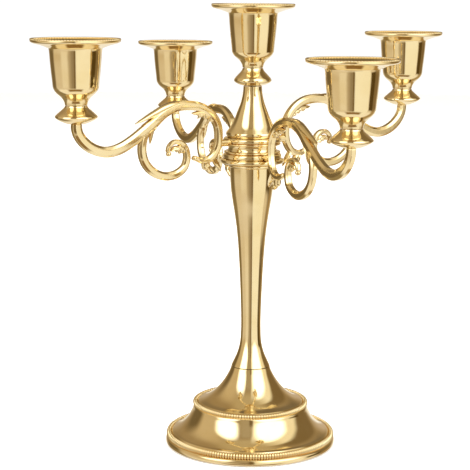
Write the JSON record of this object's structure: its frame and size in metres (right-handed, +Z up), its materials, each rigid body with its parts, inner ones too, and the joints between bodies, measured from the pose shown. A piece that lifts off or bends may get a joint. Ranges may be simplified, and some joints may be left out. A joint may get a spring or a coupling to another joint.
{
  "type": "tabletop candelabra",
  "caption": "Polished gold tabletop candelabra: a round two-tier beaded foot, a waisted column and crossed pairs of swivelling scroll arms with flared candle cups around a raised centre cup.",
  "frame": {"origin": "centre of the foot's underside, on the column's axis", "axes": "+Z up along the column; +X along the upper pair of arms"},
  "size_m": [0.2954, 0.2888, 0.2693],
  "materials": {
    "polished_gold": "polished pale gold plating",
    "plated_steel": "zinc plated",
    "felt": "black felt"
  },
  "bodies": {
    "stand": {"base_shell": "polished_gold", "base_plate": "plated_steel", "base_washer": "plated_steel", "base_nut": "plated_steel", "base_pad": "felt", "neck_bush": "plated_steel", "column": "polished_gold", "column_flange": "polished_gold", "hub_core": "plated_steel", "hub_spacer": "polished_gold", "finial_cone": "polished_gold", "tie_rod": "plated_steel", "candle_cup_centre": "polished_gold", "cup_collar_centre": "polished_gold", "cup_nut_centre": "plated_steel"},
    "upper_arms": {"upper_arm_ring": "polished_gold", "arm_upper_1": "polished_gold", "arm_screw_upper_1": "plated_steel", "candle_cup_upper_1": "polished_gold", "cup_collar_upper_1": "polished_gold", "cup_nut_upper_1": "plated_steel", "arm_upper_2": "polished_gold", "arm_screw_upper_2": "plated_steel", "candle_cup_upper_2": "polished_gold", "cup_collar_upper_2": "polished_gold", "cup_nut_upper_2": "plated_steel"},
    "lower_arms": {"lower_arm_ring": "polished_gold", "arm_lower_1": "polished_gold", "arm_screw_lower_1": "plated_steel", "candle_cup_lower_1": "polished_gold", "cup_collar_lower_1": "polished_gold", "cup_nut_lower_1": "plated_steel", "arm_lower_2": "polished_gold", "arm_screw_lower_2": "plated_steel", "candle_cup_lower_2": "polished_gold", "cup_collar_lower_2": "polished_gold", "cup_nut_lower_2": "plated_steel"}
  },
  "joints": [
    {"name": "upper_arms_swivel", "type": "hinge", "parent": "stand", "child": "upper_arms", "pos_m": [0, 0, 0.1881], "axis": [0, 0, 1], "range_deg": [-25, 25]},
    {"name": "lower_arms_swivel", "type": "hinge", "parent": "stand", "child": "lower_arms", "pos_m": [0, 0, 0.1799], "axis": [0, 0, 1], "range_deg": [-25, 25]}
  ]
}
